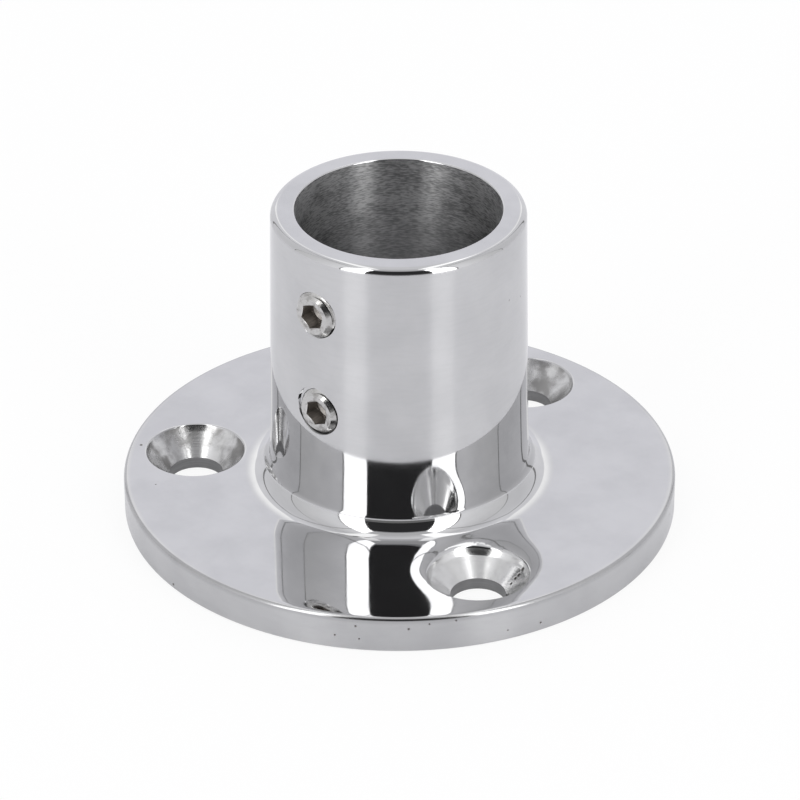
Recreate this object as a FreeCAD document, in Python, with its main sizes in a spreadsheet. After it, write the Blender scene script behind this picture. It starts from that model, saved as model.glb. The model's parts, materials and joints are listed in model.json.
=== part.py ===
import FreeCAD, Part
import math
import os
import Sketcher

# Round base flange for a 25.4 mm tube, cast in stainless steel and polished.
# The origin is the centre of the underside, +Z runs up the socket, and both grub screws face -Y.
doc = FreeCAD.newDocument("tube_base_flange")

# Driving sizes, in millimetres and degrees
SIZES = [
    ("flange_radius", 35.0),
    ("flange_thickness", 4.8),
    ("flange_edge_break", 0.4),
    ("flange_foot_break", 0.3),
    ("socket_height", 42.0),
    ("socket_rim_radius", 15.8),
    ("socket_draft", 0.9),
    ("socket_root_fillet", 3.1),
    ("socket_rim_round", 0.9),
    ("tube_radius", 12.7),
    ("tube_clearance", 0.1),
    ("bore_break", 0.2),
    ("fixing_circle_radius", 26.4),
    ("fixing_count", 3),
    ("fixing_hole_radius", 3.4),
    ("countersink_radius", 6.5),
    ("countersink_angle", 90),
    ("grub_radius", 3.0),
    ("grub_length", 4.0),
    ("grub_chamfer", 0.6),
    ("grub_point_radius", 1.5),
    ("grub_cup_depth", 0.7),
    ("hex_across_flats", 3.0),
    ("hex_depth", 2.0),
    ("thread_clearance", 0.05),
    ("tip_setback", 0.05),
    ("upper_screw_inset", 8.5),
    ("lower_screw_height", 20.0),
]

sheet = doc.addObject("Spreadsheet::Sheet", "Sizes")
for row, (alias, value) in enumerate(SIZES, start=1):
    sheet.set("A%d" % row, alias)
    sheet.set("B%d" % row, str(value))
    sheet.setAlias("B%d" % row, alias)
doc.recompute()

# Sizes that several features share, worked out from the driving ones
BORE_RADIUS = "Sizes.tube_radius + Sizes.tube_clearance"
TAPPED_RADIUS = "Sizes.grub_radius + Sizes.thread_clearance"
TIP_RADIUS = BORE_RADIUS + " + Sizes.tip_setback"
ROOT_RADIUS = (
    "Sizes.socket_rim_radius"
    " + (Sizes.socket_height - Sizes.flange_thickness) * tan(Sizes.socket_draft * 1deg)"
)
HEX_CORNER = "Sizes.hex_across_flats / (2 * cos(30deg))"

# The upper screw is set down from the socket's mouth, the lower one up from the deck
UPPER_HEIGHT = "Sizes.socket_height - Sizes.upper_screw_inset"
LOWER_HEIGHT = "Sizes.lower_screw_height"


def number(expression):
    """Value of an expression on the sheet, in millimetres."""
    return float(sheet.evalExpression(expression))


def origin_feature(body, role):
    """A body's own base plane or axis."""
    return [item for item in body.Origin.OriginFeatures if item.Role == role][0]


def new_body(label):
    """An empty body that carries the node's name."""
    body = doc.addObject("PartDesign::Body", label)
    body.Label = label
    return body


def new_sketch(body, name, plane, offset=None):
    """A sketch on one of the body's base planes, raised along its normal by an expression."""
    sketch = body.newObject("Sketcher::SketchObject", name)
    sketch.AttachmentSupport = (origin_feature(body, plane), [""])
    sketch.MapMode = "FlatFace"
    if offset:
        sketch.setExpression("AttachmentOffset.Base.z", offset)
    return sketch


def bind(sketch, constraint, expression):
    """Adds a dimension to a sketch and ties it to the sheet."""
    index = sketch.addConstraint(constraint)
    sketch.setExpression("Constraints[%d]" % index, expression)


def place_point(sketch, geometry, position, across, up):
    """Dimensions a point from the sketch's origin. None puts it on the axis."""
    if across is None:
        sketch.addConstraint(Sketcher.Constraint("PointOnObject", geometry, position, -2))
    else:
        distance = ("DistanceX", -1, 1, geometry, position, number(across))
        bind(sketch, Sketcher.Constraint(*distance), across)
    if up is None:
        sketch.addConstraint(Sketcher.Constraint("PointOnObject", geometry, position, -1))
    else:
        distance = ("DistanceY", -1, 1, geometry, position, number(up))
        bind(sketch, Sketcher.Constraint(*distance), up)


def draw_circle(sketch, radius, across, up):
    """A circle with its radius and centre given as expressions."""
    centre = FreeCAD.Vector(number(across or "0"), number(up or "0"), 0)
    circle = sketch.addGeometry(Part.Circle(centre, FreeCAD.Vector(0, 0, 1), number(radius)))
    bind(sketch, Sketcher.Constraint("Radius", circle, number(radius)), radius)
    place_point(sketch, circle, 3, across, up)


def draw_outline(sketch, corners):
    """A closed outline of straight lines through corners given as pairs of expressions."""
    points = [FreeCAD.Vector(number(across or "0"), number(up or "0"), 0) for across, up in corners]
    count = len(points)
    lines = [
        sketch.addGeometry(Part.LineSegment(points[k], points[(k + 1) % count]))
        for k in range(count)
    ]
    for k in range(count):
        sketch.addConstraint(Sketcher.Constraint("Coincident", lines[k], 2, lines[(k + 1) % count], 1))
        place_point(sketch, lines[k], 1, *corners[k])


def cut_volume(feature, before, name):
    """Makes sure that a feature took material away."""
    if not feature.Shape.Volume < before - 1e-3:
        raise RuntimeError(name + " cut nothing")


def circle_edges(feature, radius, height):
    """Names of the full round edges of a radius, in millimetres, at a height."""
    names = []
    for index, edge in enumerate(feature.Shape.Edges, start=1):
        curve = edge.Curve
        if not isinstance(curve, Part.Circle):
            continue
        same_radius = abs(curve.Radius - radius) < 1e-4
        same_height = abs(curve.Center.z - height) < 1e-4
        if same_radius and same_height:
            names.append("Edge%d" % index)
    if not names:
        raise RuntimeError("no round edge of radius %.3f at %.3f" % (radius, height))
    return names


def round_edge(body, name, kind, size, radius, height):
    """A fillet or chamfer, sized from the sheet, on the round edges of the body's last shape."""
    doc.recompute()
    base = body.Tip
    feature = body.newObject("PartDesign::" + kind, name)
    feature.Base = (base, circle_edges(base, number(radius), number(height)))
    feature.setExpression("Radius" if kind == "Fillet" else "Size", size)


def make_flange_body():
    """Flange, socket and root in one casting, then its bore, fixing holes and cross holes."""
    body = new_body("flange_body")

    disc = new_sketch(body, "flange_outline", "XY_Plane")
    draw_circle(disc, "Sizes.flange_radius", None, None)
    flange = body.newObject("PartDesign::Pad", "flange")
    flange.Profile = disc
    flange.setExpression("Length", "Sizes.flange_thickness")

    # The socket's outside drafts inwards towards its mouth, as it draws from the mould
    half = new_sketch(body, "socket_section", "XZ_Plane")
    draw_outline(half, [
        (None, "Sizes.flange_thickness / 2"),
        (ROOT_RADIUS, "Sizes.flange_thickness / 2"),
        (ROOT_RADIUS, "Sizes.flange_thickness"),
        ("Sizes.socket_rim_radius", "Sizes.socket_height"),
        (None, "Sizes.socket_height"),
    ])
    socket = body.newObject("PartDesign::Revolution", "socket")
    socket.Profile = half
    socket.ReferenceAxis = (half, ["V_Axis"])
    socket.Angle = 360

    round_edge(body, "socket_root", "Fillet", "Sizes.socket_root_fillet",
               ROOT_RADIUS, "Sizes.flange_thickness")
    round_edge(body, "socket_rim", "Fillet", "Sizes.socket_rim_round",
               "Sizes.socket_rim_radius", "Sizes.socket_height")
    round_edge(body, "flange_edge", "Chamfer", "Sizes.flange_edge_break",
               "Sizes.flange_radius", "Sizes.flange_thickness")
    round_edge(body, "flange_foot", "Chamfer", "Sizes.flange_foot_break",
               "Sizes.flange_radius", "0")

    # The bore runs right through, so the tube stands on the deck that the flange is screwed to
    doc.recompute()
    volume = body.Tip.Shape.Volume
    mouth = new_sketch(body, "bore_outline", "XY_Plane")
    draw_circle(mouth, BORE_RADIUS, None, None)
    bore = body.newObject("PartDesign::Pocket", "bore")
    bore.Profile = mouth
    bore.Type = "ThroughAll"
    bore.Reversed = True
    doc.recompute()
    cut_volume(bore, volume, "bore")
    round_edge(body, "bore_mouth", "Chamfer", "Sizes.bore_break", BORE_RADIUS, "Sizes.socket_height")
    round_edge(body, "bore_foot", "Chamfer", "Sizes.bore_break", BORE_RADIUS, "0")

    # Countersunk fixing holes: one opposite the grub screws, the others by the pattern
    doc.recompute()
    volume = body.Tip.Shape.Volume
    spot = new_sketch(body, "fixing_spot", "XY_Plane", "Sizes.flange_thickness")
    draw_circle(spot, "Sizes.fixing_hole_radius", None, "Sizes.fixing_circle_radius")
    doc.recompute()
    fixing = body.newObject("PartDesign::Hole", "fixing_hole")
    fixing.Profile = spot
    fixing.Threaded = False
    fixing.DepthType = "ThroughAll"
    fixing.HoleCutType = "Countersink"
    fixing.setExpression("Diameter", "2 * Sizes.fixing_hole_radius")
    fixing.HoleCutCustomValues = True
    fixing.setExpression("HoleCutDiameter", "2 * Sizes.countersink_radius")
    fixing.setExpression("HoleCutCountersinkAngle", "Sizes.countersink_angle * 1deg")
    doc.recompute()
    cut_volume(fixing, volume, "fixing_hole")
    pattern = body.newObject("PartDesign::PolarPattern", "fixing_holes")
    pattern.Originals = [fixing]
    pattern.Axis = (origin_feature(body, "Z_Axis"), [""])
    pattern.Angle = 360
    pattern.setExpression("Occurrences", "Sizes.fixing_count")
    body.Tip = pattern
    doc.recompute()
    cut_volume(pattern, fixing.Shape.Volume, "fixing_holes")

    # Cross holes for the grub screws, from the socket's axis out through its -Y wall
    volume = pattern.Shape.Volume
    cross = new_sketch(body, "cross_hole_spots", "XZ_Plane")
    for height in (UPPER_HEIGHT, LOWER_HEIGHT):
        draw_circle(cross, TAPPED_RADIUS, None, height)
    tapped = body.newObject("PartDesign::Pocket", "cross_holes")
    tapped.Profile = cross
    tapped.setExpression("Length", "Sizes.flange_radius")
    tapped.Reversed = True
    doc.recompute()
    cut_volume(tapped, volume, "cross_holes")
    return body


def make_grub_screw(label, height):
    """An M6 set screw with a hexagon socket and a cup point, its own Z running out of the wall."""
    body = new_body(label)

    half = new_sketch(body, label + "_section", "XZ_Plane")
    draw_outline(half, [
        (None, "Sizes.grub_cup_depth"),
        ("Sizes.grub_point_radius", None),
        ("Sizes.grub_radius", "Sizes.grub_radius - Sizes.grub_point_radius"),
        ("Sizes.grub_radius", "Sizes.grub_length - Sizes.grub_chamfer"),
        ("Sizes.grub_radius - Sizes.grub_chamfer", "Sizes.grub_length"),
        (None, "Sizes.grub_length"),
    ])
    shank = body.newObject("PartDesign::Revolution", label + "_shank")
    shank.Profile = half
    shank.ReferenceAxis = (half, ["V_Axis"])
    shank.Angle = 360
    doc.recompute()

    key = new_sketch(body, label + "_key", "XY_Plane", "Sizes.grub_length")
    turns = [math.radians(60 * k) for k in range(6)]
    corner = number(HEX_CORNER)
    points = [FreeCAD.Vector(corner * math.cos(a), corner * math.sin(a), 0) for a in turns]
    sides = [key.addGeometry(Part.LineSegment(points[k], points[(k + 1) % 6])) for k in range(6)]
    guide = key.addGeometry(Part.Circle(FreeCAD.Vector(), FreeCAD.Vector(0, 0, 1), corner), True)
    key.addConstraint(Sketcher.Constraint("Coincident", guide, 3, -1, 1))
    bind(key, Sketcher.Constraint("Radius", guide, corner), HEX_CORNER)
    for k in range(6):
        key.addConstraint(Sketcher.Constraint("Coincident", sides[k], 2, sides[(k + 1) % 6], 1))
        key.addConstraint(Sketcher.Constraint("PointOnObject", sides[k], 1, guide))
    for k in range(1, 6):
        key.addConstraint(Sketcher.Constraint("Equal", sides[0], sides[k]))
    key.addConstraint(Sketcher.Constraint("PointOnObject", sides[0], 1, -1))
    socket = body.newObject("PartDesign::Pocket", label + "_hex")
    socket.Profile = key
    socket.setExpression("Length", "Sizes.hex_depth")
    doc.recompute()
    cut_volume(socket, shank.Shape.Volume, label + "_hex")

    # The screw lies on the cross hole's axis, backed off until its cup clears the bore
    body.Placement = FreeCAD.Placement(
        FreeCAD.Vector(0, -number(TIP_RADIUS), number(height)),
        FreeCAD.Rotation(FreeCAD.Vector(1, 0, 0), 90),
    )
    body.setExpression("Placement.Base.y", "-(" + TIP_RADIUS + ")")
    body.setExpression("Placement.Base.z", height)
    return body


bodies = [
    make_flange_body(),
    make_grub_screw("upper_grub_screw", UPPER_HEIGHT),
    make_grub_screw("lower_grub_screw", LOWER_HEIGHT),
]
doc.recompute()

for item in doc.Objects:
    if "Invalid" in item.State or "Error" in item.State:
        raise RuntimeError("%s did not recompute: %s" % (item.Label, item.State))

os.makedirs("parts", exist_ok=True)
for body in bodies:
    if body.Shape.isNull() or not body.Shape.isValid() or len(body.Shape.Solids) != 1:
        raise RuntimeError(body.Label + " is not one valid solid")
for body in bodies:
    body.Shape.exportStep("parts/" + body.Label + ".step")
    box = body.Shape.BoundBox
    print("%s: %.1f mm3, z %.2f to %.2f" % (body.Label, body.Shape.Volume, box.ZMin, box.ZMax))
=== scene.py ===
import json
import math

import bmesh
import bpy
from mathutils import Matrix, Vector


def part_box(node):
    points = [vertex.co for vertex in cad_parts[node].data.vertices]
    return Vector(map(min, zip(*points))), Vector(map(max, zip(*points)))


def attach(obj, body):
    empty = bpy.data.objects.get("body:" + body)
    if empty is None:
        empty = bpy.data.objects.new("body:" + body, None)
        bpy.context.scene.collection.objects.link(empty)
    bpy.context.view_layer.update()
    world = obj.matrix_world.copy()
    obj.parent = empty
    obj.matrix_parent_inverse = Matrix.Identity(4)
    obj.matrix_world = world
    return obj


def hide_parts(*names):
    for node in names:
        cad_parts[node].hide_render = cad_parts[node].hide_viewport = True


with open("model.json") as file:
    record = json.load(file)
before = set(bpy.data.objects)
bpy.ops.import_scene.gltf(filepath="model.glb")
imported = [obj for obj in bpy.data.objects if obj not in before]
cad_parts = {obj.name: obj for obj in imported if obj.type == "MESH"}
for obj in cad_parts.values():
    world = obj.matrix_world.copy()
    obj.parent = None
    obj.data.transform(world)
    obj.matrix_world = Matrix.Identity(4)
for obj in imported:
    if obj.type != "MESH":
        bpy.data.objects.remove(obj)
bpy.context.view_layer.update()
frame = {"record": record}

# Flange casting
# Flange, socket and the concave root between them are one stainless steel casting. Its bore is
# turned, its fixing holes are drilled and countersunk, and all that shows is polished to a mirror.
MM = 0.001
NEAR = 0.004 * MM
SPARE = 1.0 * MM
SIDES = 288

mounts = {mount["name"]: mount["dims"] for mount in frame["record"]["mounts"]}
_, flange_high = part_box("flange_body")
FLANGE_RADIUS = flange_high.x
SOCKET_HEIGHT = flange_high.z
BORE_RADIUS = mounts["tube_bore"]["r_mm"] * MM
FIXING_RADIUS = mounts["fixing_holes"]["pcd_mm"] / 2 * MM
FIXING_COUNT = mounts["fixing_holes"]["count"]
FIXING_HOLE_RADIUS = mounts["fixing_holes"]["hole_r_mm"] * MM

FLANGE_THICKNESS = 4.8 * MM
EDGE_ROUND = 0.5 * MM
EDGE_ROLL_ROUND = 47.0 * MM
EDGE_ROLL_SLOPE = 2.2
FOOT_ROUND = 0.3 * MM
RIM_RADIUS = 15.8 * MM
RIM_ROUND = 1.0 * MM
DRAFT = 0.9
# The root's arcs: the slope at which each ends, its radius in mm, its steps.
ROOT_ROUNDS = [(87.8, 400, 5), (75, 2.1, 4), (45, 2.9, 9), (12, 2.6, 9), (3, 7.0, 4), (0, 40.0, 3)]
BORE_BREAK = 0.22 * MM
COUNTERSINK_RADIUS = 6.5 * MM
COUNTERSINK_SLOPE = 45.5
COUNTERSINK_ROUND = 0.3 * MM
LAND_SLOPE = 66
LAND_ROUND = 2.4 * MM
LIP_SLOPE = 1
DISH_RADIUS = 12.0 * MM
DISH_DEPTH = 0.68 * MM
DISH_OUTER_FADE = (33.5 * MM, 23.5 * MM)
DISH_INNER_FADE = (17.8 * MM, 21.8 * MM)
RING_STEP = 0.5 * MM


def pick(kind, test):
    """Select, on the mesh being edited, the edges or faces whose corners all pass a test."""
    bpy.ops.mesh.select_all(action="DESELECT")
    bpy.ops.mesh.select_mode(type=kind)
    shape = bmesh.from_edit_mesh(bpy.context.object.data)
    for item in shape.edges if kind == "EDGE" else shape.faces:
        if all(test(corner.co) for corner in item.verts):
            item.select_set(True)
    bmesh.update_edit_mesh(bpy.context.object.data)


def on_ring(radius, height):
    """A test for points on a level circle round the Z axis."""
    def test(point):
        off_circle = abs(math.hypot(point.x, point.y) - radius)
        return off_circle < NEAR and abs(point.z - height) < NEAR
    return test


def extrude_to(radius, height):
    """Extrude the selected round face, and bring its edge to a radius and a height."""
    bpy.ops.mesh.extrude_region_move()
    shape = bmesh.from_edit_mesh(bpy.context.object.data)
    corner = next(vertex.co for vertex in shape.verts if vertex.select)
    grow = radius / math.hypot(corner.x, corner.y)
    lift = height - corner.z
    bpy.ops.transform.resize(value=(grow, grow, 1), center_override=(0, 0, 0))
    bpy.ops.transform.translate(value=(0, 0, lift))


def turn(name, sides, foot, profile):
    """A round solid on the Z axis, in edit mode: a foot (radius, bottom, top), then rings above it."""
    radius, bottom, top = foot
    bpy.ops.object.select_all(action="DESELECT")
    bpy.ops.mesh.primitive_cylinder_add(
        vertices=sides, radius=radius, depth=top - bottom, location=(0, 0, (top + bottom) / 2))
    piece = bpy.context.object
    piece.name = name
    bpy.ops.object.transform_apply(location=True)
    bpy.ops.object.mode_set(mode="EDIT")
    pick("FACE", lambda point: abs(point.z - top) < NEAR)
    for ring_radius, height in profile:
        extrude_to(ring_radius, height)
    return piece


def swing(path, start, end, radius, steps):
    """Carry a path of (radius, height) points round an arc, from one heading to another."""
    side = radius if end > start else -radius
    across = path[-1][0] - side * math.sin(math.radians(start))
    up = path[-1][1] + side * math.cos(math.radians(start))
    for step in range(1, steps + 1):
        heading = math.radians(start + (end - start) * step / steps)
        path.append((across + side * math.sin(heading), up - side * math.cos(heading)))


def round_ring(radius, height, size, segments):
    """Round off the edge that runs round the piece at a radius and a height."""
    pick("EDGE", on_ring(radius, height))
    bpy.ops.mesh.bevel(offset=size, offset_type="OFFSET", segments=segments, profile=0.5,
                       affect="EDGES", clamp_overlap=False)


def combine(piece, tool, operation="DIFFERENCE"):
    """Cut a piece with a tool, or keep what they share, give the cut its finish, clear the tool away."""
    modifier = piece.modifiers.new("cut", "BOOLEAN")
    modifier.operation = operation
    modifier.solver = "MANIFOLD"
    modifier.material_mode = "TRANSFER"
    modifier.object = tool
    bpy.context.view_layer.update()
    bpy.context.view_layer.objects.active = piece
    bpy.ops.object.modifier_apply(modifier=modifier.name)
    bpy.data.objects.remove(tool)


def twin(piece):
    """A copy of a piece with its own mesh."""
    copy = piece.copy()
    copy.data = piece.data.copy()
    bpy.context.scene.collection.objects.link(copy)
    return copy


def give(piece, material, test=None):
    """Put a finish on the faces whose corners all pass a test, or on the whole piece."""
    if material.name not in piece.data.materials:
        piece.data.materials.append(material)
    slot = piece.data.materials.find(material.name)
    for face in piece.data.polygons:
        if test is None or all(test(piece.data.vertices[corner].co) for corner in face.vertices):
            face.material_index = slot


def smooth(piece):
    """Shade a piece smooth where it is round, and keep its flat faces flat."""
    bpy.ops.object.select_all(action="DESELECT")
    piece.select_set(True)
    bpy.context.view_layer.objects.active = piece
    bpy.ops.object.shade_smooth_by_angle(angle=math.radians(30))
    modifier = piece.modifiers.new("weighted", "WEIGHTED_NORMAL")
    modifier.keep_sharp = True
    modifier.weight = 100
    bpy.ops.object.modifier_apply(modifier=modifier.name)


class Wire:
    """A node's output. Sums on wires add Math nodes, and node() adds a node of any other kind."""

    def __init__(self, tree, socket=None):
        self.tree = tree
        self.socket = socket

    def node(self, kind, settings=None, inputs=None, output=0):
        made = self.tree.nodes.new("ShaderNode" + kind)
        for name, value in (settings or {}).items():
            setattr(made, name, value)
        for name, value in (inputs or {}).items():
            if isinstance(value, Wire):
                self.tree.links.new(value.socket, made.inputs[name])
            else:
                made.inputs[name].default_value = value
        return Wire(self.tree, made.outputs[output] if made.outputs else None)

    def parts(self):
        made = self.node("SeparateXYZ", inputs={0: self}).socket.node
        return [Wire(self.tree, socket) for socket in made.outputs]

    def math(self, operation, *terms):
        return self.node("Math", {"operation": operation}, dict(enumerate(terms)))

    def __add__(self, other):
        return self.math("ADD", self, other)

    def __sub__(self, other):
        return self.math("SUBTRACT", self, other)

    def __rsub__(self, other):
        return self.math("SUBTRACT", other, self)

    def __mul__(self, other):
        return self.math("MULTIPLY", self, other)

    __radd__ = __add__
    __rmul__ = __mul__


def blank_material(name):
    """A material with no nodes yet, and a wire to build on."""
    material = bpy.data.materials.new(name)
    material.use_nodes = True
    material.node_tree.nodes.clear()
    return material, Wire(material.node_tree)


def scaled(place, scale):
    """A place with each of its coordinates multiplied by its own factor."""
    return place.node("VectorMath", {"operation": "MULTIPLY"}, {0: place, 1: scale})


def noise(place, scale, size=1.0, detail=2.0):
    """Noise from 0 to 1, its coordinates stretched by scale."""
    return place.node("TexNoise", inputs={"Vector": scaled(place, scale), "Scale": size, "Detail": detail})


def ramp(value, start, end, low=0.0, high=1.0):
    """A smooth step from low to high as a value goes from start to end."""
    return value.node("MapRange", {"interpolation_type": "SMOOTHSTEP"},
                      {0: value, 1: start, 2: end, 3: low, 4: high})


def blend(share, first, second):
    """A colour between two colours."""
    return share.node("Mix", {"data_type": "RGBA"}, {0: share, 6: first, 7: second}, output=2)


def ring_noise(distance, scale, detail=2.0):
    """Noise from 0 to 1 that changes with a distance alone, as a turning tool's marks do."""
    return distance.node("TexNoise", {"noise_dimensions": "1D"}, {
        "W": distance, "Scale": scale, "Detail": detail})


def off_axis(place):
    """How far a place is from the Z axis."""
    return place.node("VectorMath", {"operation": "LENGTH"}, {0: scaled(place, (1, 1, 0))}, output=1)


def nearest(place, points):
    """How far a place is from the nearest of some points."""
    found = None
    for point in points:
        away = place.node("VectorMath", {"operation": "DISTANCE"}, {0: place, 1: point}, output=1)
        found = away if found is None else away.math("MINIMUM", away, found)
    return found


def spots(place, marks):
    """Small round marks: 1 at each (azimuth, radius, height, size), fading to 0 at its size."""
    found = None
    for azimuth, radius, height, size in marks:
        point = (radius * MM * math.cos(math.radians(azimuth)),
                 radius * MM * math.sin(math.radians(azimuth)), height * MM)
        mark = ramp(nearest(place, [point]), size * MM, 0.3 * size * MM)
        found = mark if found is None else mark.math("MAXIMUM", mark, found)
    return found


def metal(wire, height, inputs):
    """Bare steel with a relief in metres, joined to the material's output."""
    relief = wire.node("Bump", inputs={"Height": height, "Distance": 1.0, "Strength": 1.0})
    steel = wire.node("BsdfPrincipled", inputs={"Metallic": 1.0, "Normal": relief, **inputs})
    wire.node("OutputMaterial", inputs={"Surface": steel})


hole_axes = [
    (FIXING_RADIUS * math.cos(math.radians(90 + 360 * index / FIXING_COUNT)),
     FIXING_RADIUS * math.sin(math.radians(90 + 360 * index / FIXING_COUNT)), 0)
    for index in range(FIXING_COUNT)
]
PIT = (0.17, 0.16, 0.15, 1)

mirror_polish, wire = blank_material("mirror_polish")
place = wire.node("TexCoord", output=3)
axis_distance = off_axis(place)
ripples = noise(place, (420, 420, 420)) * (0.0006 * MM)
waves = noise(place, (95, 95, 80), detail=1.0) * (0.020 * MM) + ripples
pores = spots(place, [
    (-60.1, 35, 3.5, 0.22), (-49.6, 35, 3.3, 0.24), (-45.5, 35, 3.9, 0.2), (-40.2, 35, 4.1, 0.2),
    (-59.4, 35, 1.7, 0.18), (-64.3, 35, 1.9, 0.2), (-104.3, 35, 0.7, 0.24), (-22.1, 35, 1.2, 0.22),
    (-29.4, 35, 1.4, 0.15),
    (72, 35, 2.2, 0.2), (141, 35, 3.4, 0.22), (188, 35, 1.6, 0.2), (24, 35, 2.9, 0.18),
    (-150.2, 33.5, 4.8, 0.3), (6.6, 15.95, 33.7, 0.12), (18.2, 15.95, 32.6, 0.12), (112, 16.2, 19, 0.14)])
grain = place.node("TexVoronoi", inputs={"Vector": place, "Scale": 330.0}, output=0)
tint = place.node("TexVoronoi", inputs={"Vector": place, "Scale": 330.0}, output=1)
rare = ramp(grain, 0.05, 0.02) * ramp(tint.parts()[0], 0.96, 0.97)
flaws = pores.math("MAXIMUM", pores, rare)
scuffs = ramp(axis_distance, FLANGE_RADIUS - 0.6 * MM, FLANGE_RADIUS - 0.3 * MM)
# The flange's edge is blended towards black. A slight darkening all round the rim is rubbed wear; a
# stronger band on the upper edge round is a painted dark reflection.
edge_wear_and_painted_reflection = scuffs * 0.09 + scuffs * ramp(place.parts()[2], 3.8 * MM, 4.3 * MM) * 0.12
cloud = ramp(noise(place, (150, 150, 130), detail=5.0), 0.3, 0.7)
buffing = ramp(noise(place, (420, 420, 2600), detail=3.0), 0.4, 0.7)
haze = cloud * 0.8 + buffing * 0.2
polish = blend(haze, (0.645, 0.645, 0.65, 1), (0.585, 0.585, 0.592, 1))
metal(wire, waves - flaws * (0.03 * MM), {
    "Base Color": blend(flaws, blend(edge_wear_and_painted_reflection, polish, (0, 0, 0, 1)), PIT),
    "Roughness": haze * 0.05 + scuffs * 0.12 + flaws * 0.4 + 0.025,
})

turned_bore, wire = blank_material("turned_bore")
place = wire.node("TexCoord", output=3)
lines = noise(place, (1300, 1300, 7500), detail=4.0)
blotches = noise(place, (260, 260, 420), detail=3.0)
# Painted light: the bore's colour gets lighter towards its mouth, where light comes in from above, on top
# of its turning marks.
painted_light_near_top = ramp(place.parts()[2], 28 * MM, 38 * MM, 0.55, 1.25)
cut = ramp(lines * 0.7 + blotches * 0.3, 0.36, 0.64) * painted_light_near_top
metal(wire, lines * (0.006 * MM) + noise(place, (3800, 3800, 6500)) * (0.005 * MM), {
    "Base Color": blend(cut, (0.34, 0.34, 0.345, 1), (0.74, 0.74, 0.74, 1)),
    "Roughness": blotches * 0.16 + 0.28,
    "Anisotropic": 0.9,
    "Anisotropic Rotation": 0.25,
})

turned_countersink, wire = blank_material("turned_countersink")
place = wire.node("TexCoord", output=3)
hole_distance = nearest(scaled(place, (1, 1, 0)), hole_axes)
rings = ring_noise(hole_distance, 5200.0)
sheltered = ramp(place.parts()[0], 12 * MM, -4 * MM, 0.2, 1.0)
stains = ramp(noise(place, (380, 380, 300), detail=4.0), 0.40, 0.66) * sheltered
pits = spots(place, [
    (-17.3, 27.0, 3.56, 0.42), (-18.7, 27.1, 3.08, 0.4), (-19.7, 27.0, 2.71, 0.34),
    (-21.1, 27.1, 2.22, 0.26), (94, 22.2, 3.2, 0.35)])
metal(wire, rings * (0.006 * MM) + stains * (0.003 * MM) - pits * (0.1 * MM), {
    "Base Color": blend(pits, blend(stains, (0.72, 0.72, 0.72, 1), (0.30, 0.295, 0.29, 1)), PIT),
    "Roughness": stains * 0.16 + 0.19,
})

drilled_wall, wire = blank_material("drilled_wall")
place = wire.node("TexCoord", output=3)
feed_marks = noise(place, (160, 160, 4200), detail=3.0)
metal(wire, feed_marks * (0.010 * MM), {
    "Base Color": blend(feed_marks, (0.18, 0.18, 0.18, 1), (0.34, 0.34, 0.34, 1)),
    "Roughness": feed_marks * 0.2 + 0.28,
})

ground_foot, wire = blank_material("ground_foot")
place = wire.node("TexCoord", output=3)
facing = ring_noise(off_axis(place), 4500.0, detail=3.0)
stains = noise(place, (160, 160, 160), detail=5.0)
metal(wire, facing * (0.006 * MM), {
    "Base Color": blend(ramp(facing * 0.5 + stains * 0.5, 0.35, 0.65),
                        (0.44, 0.44, 0.44, 1), (0.6, 0.6, 0.6, 1)),
    "Roughness": stains * 0.2 + 0.2,
})

skin = [(BORE_RADIUS, SOCKET_HEIGHT), (RIM_RADIUS - RIM_ROUND, SOCKET_HEIGHT)]
swing(skin, 0, DRAFT - 90, RIM_ROUND, 12)
root_drop = sum(
    radius * MM * (math.cos(math.radians(end)) - math.cos(math.radians(start)))
    for (start, _, _), (end, radius, _) in zip([(90 - DRAFT, 0, 0)] + ROOT_ROUNDS, ROOT_ROUNDS))
wall_foot = FLANGE_THICKNESS + root_drop
skin.append((skin[-1][0] + (skin[-1][1] - wall_foot) * math.tan(math.radians(DRAFT)), wall_foot))
heading = DRAFT - 90
for slope, radius, steps in ROOT_ROUNDS:
    swing(skin, heading, -slope, radius * MM, steps)
    heading = -slope
edge_reach = (EDGE_ROLL_ROUND * math.sin(math.radians(EDGE_ROLL_SLOPE))
              + EDGE_ROUND * (1 - math.sin(math.radians(EDGE_ROLL_SLOPE))))
flat_inner = skin[-1][0]
flat_outer = FLANGE_RADIUS - edge_reach
flat_steps = math.ceil((flat_outer - flat_inner) / RING_STEP)
for step in range(1, flat_steps + 1):
    skin.append((flat_inner + (flat_outer - flat_inner) * step / flat_steps, FLANGE_THICKNESS))
swing(skin, 0, -EDGE_ROLL_SLOPE, EDGE_ROLL_ROUND, 5)
swing(skin, -EDGE_ROLL_SLOPE, -90, EDGE_ROUND, 8)
skin.reverse()

casting = turn("polished_flange_casting", SIDES, (FLANGE_RADIUS, 0, skin[0][1]),
               skin[1:] + [(BORE_RADIUS, 0)])
pick("FACE", lambda point: point.z < NEAR)
bpy.ops.mesh.delete(type="ONLY_FACE")
pick("EDGE", lambda point: point.z < NEAR)
bpy.ops.mesh.bridge_edge_loops()
bpy.ops.mesh.select_all(action="SELECT")
bpy.ops.mesh.normals_make_consistent(inside=False)
round_ring(FLANGE_RADIUS, 0, FOOT_ROUND, 3)
round_ring(BORE_RADIUS, SOCKET_HEIGHT, BORE_BREAK, 4)
round_ring(BORE_RADIUS, 0, BORE_BREAK, 3)
bpy.ops.object.mode_set(mode="OBJECT")
give(casting, mirror_polish)
give(casting, turned_bore, lambda point: math.hypot(point.x, point.y) < BORE_RADIUS + NEAR)
give(casting, ground_foot, lambda point: point.z < NEAR)


def ease(value, start, end):
    """A smooth step from 0 to 1 as a value goes from start to end."""
    share = min(max((value - start) / (end - start), 0), 1)
    return share * share * (3 - 2 * share)


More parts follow.
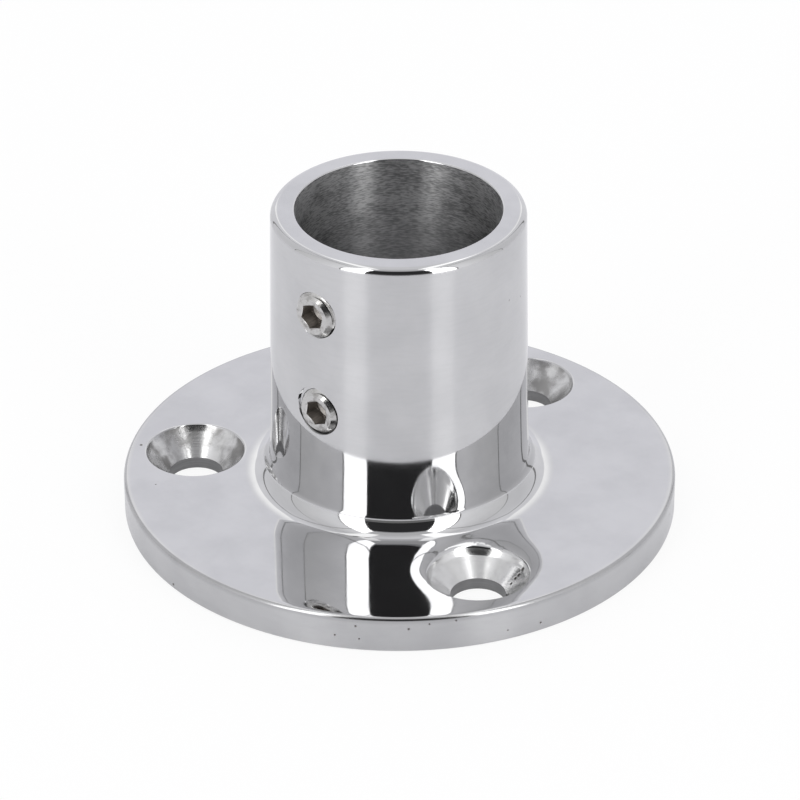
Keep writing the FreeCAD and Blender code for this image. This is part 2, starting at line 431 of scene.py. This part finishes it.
def dished(point):
    """How far polishing has taken the skin down, in a dish round the front fixing hole."""
    away = math.hypot(point.x - hole_axes[-1][0], point.y - hole_axes[-1][1])
    from_axis = math.hypot(point.x, point.y)
    share = min(max(2 * (DISH_RADIUS - away) / DISH_RADIUS, 0), 1)
    return DISH_DEPTH * share ** 3 * ease(from_axis, *DISH_OUTER_FADE) * ease(from_axis, *DISH_INNER_FADE)


for corner in casting.data.vertices:
    if corner.co.z > FLANGE_THICKNESS - NEAR:
        corner.co.z -= dished(corner.co)

mouth = [(0, 0)]
swing(mouth, COUNTERSINK_SLOPE, LAND_SLOPE, LAND_ROUND, 6)
land_rise = mouth[-1][1]
swing(mouth, LAND_SLOPE, LIP_SLOPE, COUNTERSINK_ROUND, 6)
cone_radius = COUNTERSINK_RADIUS - mouth[-1][0]
cone_height = FLANGE_THICKNESS - mouth[-1][1]
cone_drop = (cone_radius - FIXING_HOLE_RADIUS) * math.tan(math.radians(COUNTERSINK_SLOPE))
cone_foot = cone_height - cone_drop
mouth = [(cone_radius + across, cone_height + up) for across, up in mouth]
outside = mouth[-1][0] + SPARE
mouth.append((outside, FLANGE_THICKNESS + SPARE * math.tan(math.radians(LIP_SLOPE))))
mouth.append((outside, FLANGE_THICKNESS + 2 * SPARE))
countersink_drill = turn("countersink_drill", 120, (FIXING_HOLE_RADIUS, -SPARE, cone_foot), mouth)
bpy.ops.object.mode_set(mode="OBJECT")
give(countersink_drill, mirror_polish)
give(countersink_drill, turned_countersink, lambda point: point.z < cone_height + land_rise + NEAR)
give(countersink_drill, drilled_wall, lambda point: point.z < cone_foot + NEAR)


def skin_height(radius):
    """How high the casting's upper skin is at a radius outside the socket."""
    for (outer, low), (inner, high) in zip(skin, skin[1:]):
        if outer >= radius >= inner:
            return low + (high - low) * (outer - radius) / max(outer - inner, NEAR)
    return FLANGE_THICKNESS


for hole_axis in hole_axes:
    drill = twin(countersink_drill)
    for corner in drill.data.vertices:
        if corner.co.z > cone_foot + NEAR:
            spot = corner.co + Vector(hole_axis)
            corner.co.z += skin_height(math.hypot(spot.x, spot.y)) - FLANGE_THICKNESS - dished(spot)
    drill.location = hole_axis
    combine(casting, drill)
bpy.data.objects.remove(countersink_drill)

# Tapped cross holes
# Two holes are drilled and tapped through the socket's wall on one side, one above the other, for
# the grub screws. Their mouths are broken by hand, and each drill was started a little off place.
screw_low, screw_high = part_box("lower_grub_screw")
upper_low, upper_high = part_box("upper_grub_screw")
SCREW_RADIUS = (screw_high.x - screw_low.x) / 2
SCREW_LENGTH = screw_high.y - screw_low.y
SCREW_TIP = screw_high.y
LOWER_HEIGHT = (screw_low.z + screw_high.z) / 2
UPPER_HEIGHT = (upper_low.z + upper_high.z) / 2
CROSS_HOLE_RADIUS = SCREW_RADIUS - 0.02 * MM
MOUTH_BREAK = 0.07 * MM
TAP_START = 9 * MM
START_RADIUS = CROSS_HOLE_RADIUS - 0.06 * MM
START_BREAK = 0.08 * MM
SKIN_OVERLAP = 0.02 * MM
# Each screw's name, its place across and up, how far it is turned in degrees, how deep it sits.
CROSS_HOLES = [
    ("upper_grub_screw", -0.28 * MM, UPPER_HEIGHT + 0.36 * MM, -11, 0.25 * MM),
    ("lower_grub_screw", 0.04 * MM, LOWER_HEIGHT + 0.3 * MM, -7, 0.45 * MM),
]
# How far each off-place start lies aside and up from its hole, and how deep it goes.
OFF_PLACE_STARTS = [(-0.14 * MM, -0.14 * MM, 0.6 * MM), (-0.40 * MM, 0.33 * MM, 0.65 * MM)]


def wall_radius(height):
    """The socket's outside radius at a height on its straight wall."""
    return RIM_RADIUS + (SOCKET_HEIGHT - height) * math.tan(math.radians(DRAFT))


def cross_drill(name, height, across, radius, start, widen):
    """A drill that comes in at -Y, its mouth wider by a break that follows the round wall."""
    surface = wall_radius(height) - SKIN_OVERLAP
    drill = turn(name, 64, (radius, start, surface - widen), [
        (radius, surface - 0.6 * widen), (radius + widen, surface + 0.4 * widen),
        (radius + 3 * widen, surface + 3 * SPARE)])
    bpy.ops.object.mode_set(mode="OBJECT")
    for corner in drill.data.vertices:
        if corner.co.z > surface - 1.1 * widen:
            side = corner.co.x + across
            corner.co.z -= surface - math.sqrt(surface ** 2 - side ** 2)
    drill.rotation_euler.x = math.radians(90)
    drill.location = (across, 0, height)
    return drill


for _, across, height, _, _ in CROSS_HOLES:
    drill = cross_drill("tap_drill", height, across, CROSS_HOLE_RADIUS, TAP_START, MOUTH_BREAK)
    give(drill, drilled_wall)
    combine(casting, drill)
for (_, across, height, _, _), (aside, up, depth) in zip(CROSS_HOLES, OFF_PLACE_STARTS):
    drill = cross_drill("off_place_start", height + up, across + aside, START_RADIUS,
                        wall_radius(height) - depth, START_BREAK)
    give(drill, mirror_polish)
    combine(casting, drill)
smooth(casting)
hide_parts("flange_body")
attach(casting, "root")

# Grub screws
# Two stainless set screws, turned and threaded all along, with a hexagon socket broached in one end
# and a cup at the other that bites the tube. They are screwed in until they stand just proud.
PITCH = 1.0 * MM
THREAD_DEPTH = 0.541 * MM
THREAD_TURNS = 8
THREAD_STEPS = 48
THREAD_SPARE = 0.13 * MM
ROOT_FLAT, FLANK, CREST_FLAT = 0.25 * PITCH, 0.3125 * PITCH, 0.125 * PITCH
WELD = 0.0005 * MM
FINE = 0.00001 * MM
CREST_RADIUS = SCREW_RADIUS - 0.07 * MM
SCREW_CHAMFER = 0.6 * MM
CUP_RADIUS = 1.5 * MM
CUP_DEPTH = 0.7 * MM
CUP_LAND = 0.25 * MM
POINT = 0.05 * MM
HEXAGON_ACROSS = 3.0 * MM
HEXAGON_DEPTH = 2.0 * MM
HEXAGON_CORNER = HEXAGON_ACROSS / 2 / math.cos(math.radians(30))
PILOT_RADIUS = HEXAGON_ACROSS / 2 + 0.03 * MM
PILOT_DEPTH = 0.9 * MM
MOUTH_RADIUS = 1.45 * MM
MOUTH_DEPTH = 0.15 * MM

screw_steel, wire = blank_material("screw_steel")
place = wire.node("TexCoord", output=3)
face_on = scaled(place, (1, 0, 1))
screw_axes = [(across, 0, height) for _, across, height, _, _ in CROSS_HOLES]
from_screw_axis = nearest(face_on, screw_axes)
turning = ring_noise(from_screw_axis, 9000.0)
dirt = ramp(noise(place, (1500, 1500, 1500), detail=3.0), 0.45, 0.75)
metal(wire, turning * (0.004 * MM) + dirt * (0.002 * MM), {
    "Base Color": blend(dirt, (0.60, 0.595, 0.585, 1), (0.36, 0.35, 0.34, 1)),
    "Roughness": dirt * 0.2 + 0.16,
})

broached_steel, wire = blank_material("broached_steel")
place = wire.node("TexCoord", output=3)
scores = noise(place, (6500, 300, 6500), detail=3.0)
metal(wire, scores * (0.012 * MM), {
    "Base Color": blend(scores, (0.20, 0.185, 0.17, 1), (0.62, 0.59, 0.56, 1)),
    "Roughness": scores * 0.2 + 0.32,
})

bpy.ops.object.select_all(action="DESELECT")
bpy.ops.mesh.primitive_plane_add(size=2 * POINT, location=(0, 0, 0))
screw = bpy.context.object
screw.name = "grub_screw"
bpy.ops.object.mode_set(mode="EDIT")
bpy.ops.mesh.select_all(action="SELECT")
bpy.ops.mesh.select_mode(type="VERT")
bpy.ops.mesh.select_all(action="SELECT")
bpy.ops.mesh.merge(type="CENTER")
bpy.ops.transform.translate(value=(SCREW_RADIUS - THREAD_DEPTH, 0, -2 * PITCH))
for outward, upward in ((0, ROOT_FLAT), (THREAD_DEPTH, FLANK), (0, CREST_FLAT), (-THREAD_DEPTH, FLANK)):
    bpy.ops.mesh.extrude_region_move(TRANSFORM_OT_translate={"value": (outward, 0, upward)})
bpy.ops.object.mode_set(mode="OBJECT")
helix = screw.modifiers.new("thread", "SCREW")
helix.axis = "Z"
helix.angle = math.radians(360)
helix.screw_offset = PITCH
helix.iterations = THREAD_TURNS
helix.steps = THREAD_STEPS
helix.render_steps = THREAD_STEPS
helix.use_merge_vertices = True
helix.merge_threshold = WELD
bpy.ops.object.modifier_apply(modifier=helix.name)
bpy.ops.object.mode_set(mode="EDIT")
bpy.ops.mesh.select_all(action="SELECT")
bpy.ops.mesh.remove_doubles(threshold=WELD)
for cut_height, waste in ((-THREAD_SPARE, "clear_inner"), (SCREW_LENGTH + THREAD_SPARE, "clear_outer")):
    bpy.ops.mesh.select_all(action="SELECT")
    bpy.ops.mesh.bisect(plane_co=(0, 0, cut_height), plane_no=(0, 0, 1), threshold=FINE, use_fill=True,
                        **{waste: True})
bpy.ops.mesh.select_all(action="SELECT")
bpy.ops.mesh.normals_make_consistent(inside=False)
bpy.ops.object.mode_set(mode="OBJECT")
give(screw, screw_steel)

blank_form = turn("screw_blank", 96, (CUP_RADIUS + CUP_LAND, 0, POINT), [
    (CREST_RADIUS, CREST_RADIUS - CUP_RADIUS - CUP_LAND + POINT),
    (CREST_RADIUS, SCREW_LENGTH - SCREW_CHAMFER), (CREST_RADIUS - SCREW_CHAMFER, SCREW_LENGTH)])
bpy.ops.object.mode_set(mode="OBJECT")
give(blank_form, screw_steel)
combine(screw, blank_form, "INTERSECT")
cup_drill = turn("cup_drill", 64, (CUP_RADIUS, -SPARE, 0), [(POINT, CUP_DEPTH)])
bpy.ops.object.mode_set(mode="OBJECT")
give(cup_drill, screw_steel)
combine(screw, cup_drill)
hexagon_foot = SCREW_LENGTH - HEXAGON_DEPTH
pilot_foot = hexagon_foot - PILOT_DEPTH
pilot = turn("pilot_drill", 48, (POINT, pilot_foot, pilot_foot + POINT), [
    (PILOT_RADIUS, hexagon_foot - 0.2 * MM), (PILOT_RADIUS, hexagon_foot + PILOT_DEPTH)])
bpy.ops.object.mode_set(mode="OBJECT")
give(pilot, broached_steel)
combine(screw, pilot)
broach = turn("broach", 6, (HEXAGON_CORNER, hexagon_foot, SCREW_LENGTH + SPARE), [])
bpy.ops.object.mode_set(mode="OBJECT")
give(broach, broached_steel)
combine(screw, broach)
mouth_foot = SCREW_LENGTH - MOUTH_DEPTH
mouth_cone = turn("mouth_cone", 64, (MOUTH_RADIUS, mouth_foot - 0.01 * MM, mouth_foot), [
    (HEXAGON_CORNER + MOUTH_DEPTH, SCREW_LENGTH + POINT),
    (HEXAGON_CORNER + MOUTH_DEPTH, SCREW_LENGTH + SPARE)])
bpy.ops.object.mode_set(mode="OBJECT")
give(mouth_cone, screw_steel)
combine(screw, mouth_cone)
smooth(screw)

for name, across, height, turned, sunk in CROSS_HOLES:
    fitted = twin(screw)
    fitted.name = "real_" + name
    fitted.data.transform(Matrix.Translation((across, SCREW_TIP + sunk, height))
                          @ Matrix.Rotation(math.radians(90), 4, "X")
                          @ Matrix.Rotation(math.radians(turned), 4, "Z"))
    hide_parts(name)
    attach(fitted, "root")
bpy.data.objects.remove(screw)

# Studio
# The fitting stands on a pale lit table inside a box-shaped light tent. The tent is open in front,
# with a white reflector either side of the opening, and a soft lamp runs along each edge of its roof.
CAMERA_AZIMUTH = math.radians(38.7)
TENT_HALF = 0.8
TENT_TOP = 3.1 * TENT_HALF
TENT_FRONT = -1.84 * TENT_HALF
TENT_BACK = 2.6 * TENT_HALF
TABLE_RADIUS = 1.5
TABLE_GLOW = 0.4
TABLE_SHADE = 0.12


def ray_mix(wire, share, first, second):
    """One shader mixed with another."""
    return wire.node("MixShader", inputs={0: share, 1: first, 2: second})


bpy.ops.object.select_all(action="DESELECT")
bpy.ops.mesh.primitive_circle_add(
    vertices=64, radius=TABLE_RADIUS, fill_type="NGON", location=(0, 0, -0.01 * MM))
floor = bpy.context.object
floor.name = "pale_table"
bpy.ops.object.transform_apply(location=True)
table, wire = blank_material("pale_table")
sheen = wire.node("BsdfPrincipled", inputs={
    "Base Color": (0.86, 0.86, 0.88, 1), "Roughness": 0.27, "IOR": 1.75})
glow = wire.node("Emission", inputs={"Color": (0.90, 0.90, 0.925, 1), "Strength": 1.0})
white = wire.node("Emission", inputs={"Color": (1, 1, 1, 1), "Strength": 1.0})
shade = wire.node("BsdfDiffuse", inputs={"Color": (1, 1, 1, 1)})
lit = ray_mix(wire, TABLE_GLOW, sheen, glow)
seen = ray_mix(wire, TABLE_SHADE, white, shade)
above = ray_mix(wire, wire.node("LightPath"), lit, seen)
both = ray_mix(wire, wire.node("NewGeometry", output=6), above, wire.node("BsdfTransparent"))
wire.node("OutputMaterial", inputs={"Surface": both})
floor.data.materials.append(table)


def glowing(name, strength, near, far=None, way=(0, 0, 1), start=0.0, end=1.0):
    """A glowing cloth of one colour, or of two that change over along a way."""
    material, wire = blank_material(name)
    colour = (*near, 1)
    if far:
        place = wire.node("TexCoord", output=3)
        along = wire.node("VectorMath", {"operation": "DOT_PRODUCT"}, {0: place, 1: way}, output=1)
        colour = blend(ramp(along, start, end), (*near, 1), (*far, 1))
    light = wire.node("Emission", inputs={"Color": colour, "Strength": strength})
    wire.node("OutputMaterial", inputs={"Surface": light})
    return material


bpy.ops.object.select_all(action="DESELECT")
bpy.ops.mesh.primitive_cube_add(size=1, location=(0, (TENT_FRONT + TENT_BACK) / 2, TENT_TOP / 2))
tent = bpy.context.object
tent.name = "light_tent"
tent.scale = (2 * TENT_HALF, TENT_BACK - TENT_FRONT, TENT_TOP)
bpy.ops.object.transform_apply(location=True, scale=True)
PANEL_BACK = -TENT_HALF / math.tan(math.radians(49.5))
DARK_EDGE = -TENT_HALF / math.tan(math.radians(51))
SEAM = TENT_HALF * math.tan(math.radians(7))
SEAM_BACK = TENT_HALF * math.tan(math.radians(8))
GAP_FOOT = 0.29
GLOW_FOOT = 0.80
GLOW_TOP = 2.25
GLOW_INSIDE = 0.27
WALL_SEAM = 1.39
WALL_SEAM_TOP = 1.46
BACK_SEAM = 0.86
BACK_SEAM_END = 0.94
GAP_TOP = 2.14
LAMP_INSIDE = 0.56 * TENT_HALF
LAMP_OUTSIDE = 0.97 * TENT_HALF
LAMP_FRONT = -0.9 * TENT_HALF
ROOF, FRONT, BACK, SIDE = (0.999 * wall for wall in (TENT_TOP, TENT_FRONT, TENT_BACK, TENT_HALF))
bpy.ops.object.mode_set(mode="EDIT")
pick("FACE", lambda point: point.z < NEAR)
bpy.ops.mesh.delete(type="ONLY_FACE")
for facing, cuts in (
        ((1, 0, 0), (GLOW_INSIDE, LAMP_INSIDE, LAMP_OUTSIDE, -GLOW_INSIDE, -LAMP_INSIDE, -LAMP_OUTSIDE)),
        ((0, 1, 0), (LAMP_FRONT, PANEL_BACK, DARK_EDGE, SEAM, SEAM_BACK, BACK_SEAM, BACK_SEAM_END)),
        ((0, 0, 1), (GAP_FOOT, GLOW_FOOT, WALL_SEAM, WALL_SEAM_TOP, GAP_TOP, GLOW_TOP))):
    for cut_place in cuts:
        bpy.ops.mesh.select_all(action="SELECT")
        bpy.ops.mesh.bisect(plane_co=Vector(facing) * cut_place, plane_no=facing)
bpy.ops.object.mode_set(mode="OBJECT")
ahead = (-math.sin(CAMERA_AZIMUTH), math.cos(CAMERA_AZIMUTH), 0)
right = (math.cos(CAMERA_AZIMUTH), math.sin(CAMERA_AZIMUTH), 0)
# Each cloth and the part of the tent that it covers; the first that fits a face is put on it.
CLOTHS = [
    (glowing("roof_lamp_right", 1.7, (1, 1, 1)),
     lambda u, v, z: z > ROOF and LAMP_INSIDE < u < LAMP_OUTSIDE and v > LAMP_FRONT),
    (glowing("roof_lamp_left", 1.45, (1, 1, 1)),
     lambda u, v, z: z > ROOF and LAMP_INSIDE < -u < LAMP_OUTSIDE and v > LAMP_FRONT),
    (glowing("roof", 1.0, (0.62, 0.62, 0.63), (0.86, 0.86, 0.88), ahead, -1.0, 0.2),
     lambda u, v, z: z > ROOF),
    (glowing("opening", 1.0, (0.035, 0.035, 0.036)),
     lambda u, v, z: v < FRONT and GAP_FOOT < z < GAP_TOP),
    (glowing("opening_foot", 1.0, (0.2, 0.2, 0.2)),
     lambda u, v, z: v < FRONT and z < GAP_FOOT),
    (glowing("opening_top", 1.0, (0.35, 0.35, 0.36)),
     lambda u, v, z: v < FRONT),
    (glowing("back_glow_left", 1.3, (1, 1, 1), (0.72, 0.72, 0.75), right, -0.66, -GLOW_INSIDE),
     lambda u, v, z: v > BACK and GLOW_FOOT < z < GLOW_TOP and u < -GLOW_INSIDE),
    (glowing("back_glow_right", 1.25, (1, 1, 1), (0.75, 0.75, 0.78), right, 0.66, GLOW_INSIDE),
     lambda u, v, z: v > BACK and GLOW_FOOT < z < GLOW_TOP and u > GLOW_INSIDE),
    (glowing("wall_seam", 1.0, (0.28, 0.28, 0.28)),
     lambda u, v, z: TENT_FRONT < v < BACK_SEAM_END and abs(u) > SIDE
     and (WALL_SEAM < z < WALL_SEAM_TOP or (v > BACK_SEAM and z < WALL_SEAM))),
    (glowing("back_cloth", 1.0, (0.92, 0.92, 0.97)),
     lambda u, v, z: v > BACK),
    (glowing("reflector", 2.9, (1, 1, 1)),
     lambda u, v, z: v < PANEL_BACK),
    (glowing("reflector_edge", 1.0, (0.3, 0.3, 0.3)),
     lambda u, v, z: v < DARK_EDGE),
    (glowing("side_cloth", 1.0, (0.98, 0.98, 1.0), (0.76, 0.76, 0.77), ahead, -0.66, 0.15),
     lambda u, v, z: v < SEAM),
    (glowing("seam", 1.0, (0.3, 0.3, 0.3)),
     lambda u, v, z: v < SEAM_BACK),
    (glowing("rear_cloth", 1.0, (0.78, 0.78, 0.80), (0.9, 0.9, 0.93), ahead, 0.3, 1.3),
     lambda u, v, z: True),
]
for cloth, _ in CLOTHS:
    tent.data.materials.append(cloth)
for face in tent.data.polygons:
    face.material_index = next(index for index, (_, covers) in enumerate(CLOTHS) if covers(*face.center))
tent.data.transform(Matrix.Rotation(CAMERA_AZIMUTH, 4, "Z"))
tent.visible_camera = False

world = bpy.data.worlds.new("white_room")
bpy.context.scene.world = world
world.use_nodes = True
world.node_tree.nodes["Background"].inputs["Color"].default_value = (1, 1, 1, 1)
world.node_tree.nodes["Background"].inputs["Strength"].default_value = 1.0

# Camera
# It stands in the tent's opening and looks down at the fitting, from between the side that its
# grub screws face and the front fixing hole, as the photograph does.
PITCH_DOWN = math.radians(30.93)
ROLL = math.radians(-0.2)
DISTANCE = 541.0 * MM
AIM_RIGHT = 0.09 * MM
AIM_HEIGHT = 14.48 * MM
LENS = 193.27
up = Vector((0, 0, 1))
aim = Vector(right) * AIM_RIGHT + up * AIM_HEIGHT
look = Vector(ahead) * math.cos(PITCH_DOWN) - up * math.sin(PITCH_DOWN)
camera = bpy.data.objects.new("camera", bpy.data.cameras.new("camera"))
bpy.context.scene.collection.objects.link(camera)
camera.data.sensor_width = 36
camera.data.lens = LENS
camera.data.clip_start = 0.01
camera.data.clip_end = 20
camera.matrix_world = (Matrix.Translation(aim - look * DISTANCE)
                       @ Matrix.Rotation(CAMERA_AZIMUTH, 4, "Z")
                       @ Matrix.Rotation(math.pi / 2 - PITCH_DOWN, 4, "X")
                       @ Matrix.Rotation(ROLL, 4, "Z"))
bpy.context.scene.camera = camera
bpy.context.scene.view_settings.view_transform = "Standard"
